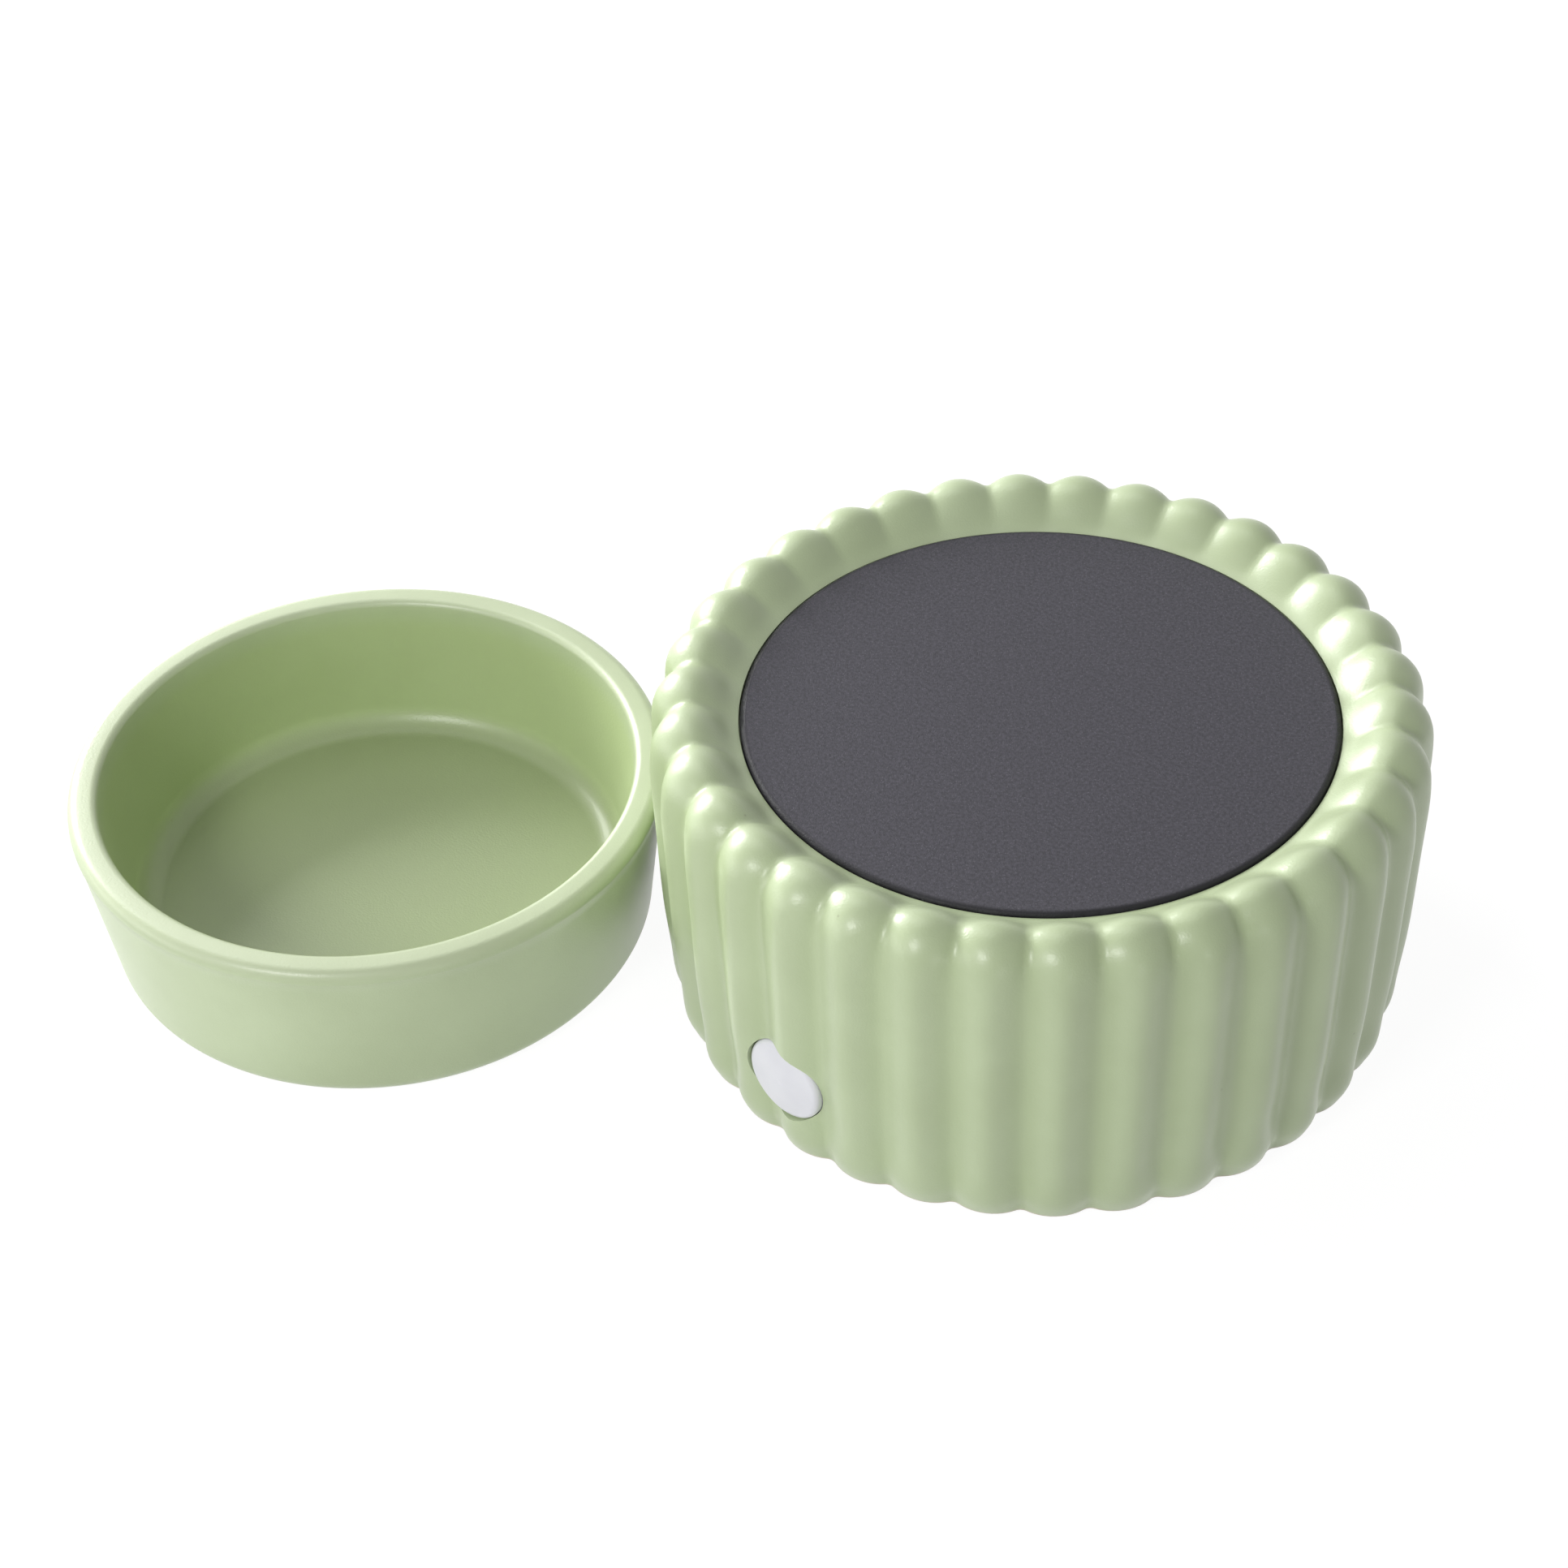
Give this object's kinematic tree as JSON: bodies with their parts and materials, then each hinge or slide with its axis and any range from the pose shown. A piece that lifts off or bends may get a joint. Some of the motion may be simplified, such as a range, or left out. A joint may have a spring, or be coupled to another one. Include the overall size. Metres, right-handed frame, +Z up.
{
  "type": "wax melt warmer",
  "caption": "Round electric wax melt warmer: fluted glazed ceramic base with a recessed heat plate and a push button, and a separate smooth ceramic wax dish standing beside it",
  "frame": {"origin": "Centre of the base's round underside, on the table.", "axes": "+Z is up, out of the heat plate. The push button faces -Y and the cord leaves towards +Y. The dish stands at -X and -Y."},
  "size_m": [0.215, 0.1871, 0.0626],
  "materials": {
    "glaze": "satin",
    "plate_coating": "matte",
    "steel": "satin",
    "aluminium": "satin",
    "brass": "satin",
    "mica": "matte",
    "silicone": "matte",
    "rubber": "matte",
    "thermostat_body": "gloss",
    "cover_plastic": "matte",
    "button_plastic": "satin",
    "guide_plastic": "matte",
    "circuit_board": "satin",
    "relay_case": "matte",
    "capacitor_case": "gloss",
    "can_sleeve": "gloss",
    "terminal_plastic": "matte",
    "header_plastic": "matte",
    "black_plastic": "matte",
    "lead_sleeve": "matte",
    "switch_lead_sleeve": "matte"
  },
  "bodies": {
    "base": {"ceramic_base": "glaze", "heat_plate": "plate_coating", "plate_studs": "steel", "plate_gasket": "silicone", "upper_mica": "mica", "heater_disc": "steel", "lower_mica": "mica", "clamp_plate": "aluminium", "stud_nuts": "steel", "thermostat": "thermostat_body", "thermostat_bracket": "steel", "thermal_fuse": "steel", "fuse_clip": "steel", "clip_screw": "steel", "upper_standoffs": "brass", "heat_shield": "aluminium", "lower_standoffs": "brass", "bottom_cover": "cover_plastic", "cover_screws": "steel", "rubber_feet": "rubber", "control_board": "circuit_board", "board_screws": "steel", "relay": "relay_case", "film_capacitor": "capacitor_case", "smoothing_capacitor": "can_sleeve", "board_fuse": "black_plastic", "supply_terminal": "terminal_plastic", "heater_terminal": "terminal_plastic", "switch_header": "header_plastic", "button_spring": "steel", "button_guide": "guide_plastic", "guide_screws": "steel", "push_switch": "black_plastic", "switch_board": "circuit_board", "switch_screws": "steel", "cord_gland": "rubber", "heater_leads": "lead_sleeve", "switch_leads": "switch_lead_sleeve"},
    "button": {"button_cap": "button_plastic", "retaining_clip": "steel"},
    "plunger": {"switch_plunger": "header_plastic"},
    "dish": {"wax_dish": "glaze"}
  },
  "joints": [
    {"name": "button_press", "type": "slide", "parent": "base", "child": "button", "axis": [0, 1, 0], "range_m": [0, 0.0012], "stiffness_N_per_m": 500, "springref_m": -0.002, "deforming": ["button_spring"]},
    {"name": "switch_plunge", "type": "slide", "parent": "base", "child": "plunger", "axis": [0, 1, 0], "range_m": [0, 0.0012]},
    {"name": "dish_lift", "type": "slide", "parent": "base", "child": "dish", "axis": [0, 0, 1], "range_m": [0, 0.08]}
  ],
  "couplings": [
    {"joint": "switch_plunge", "follows": "button_press", "ratio": 1}
  ]
}
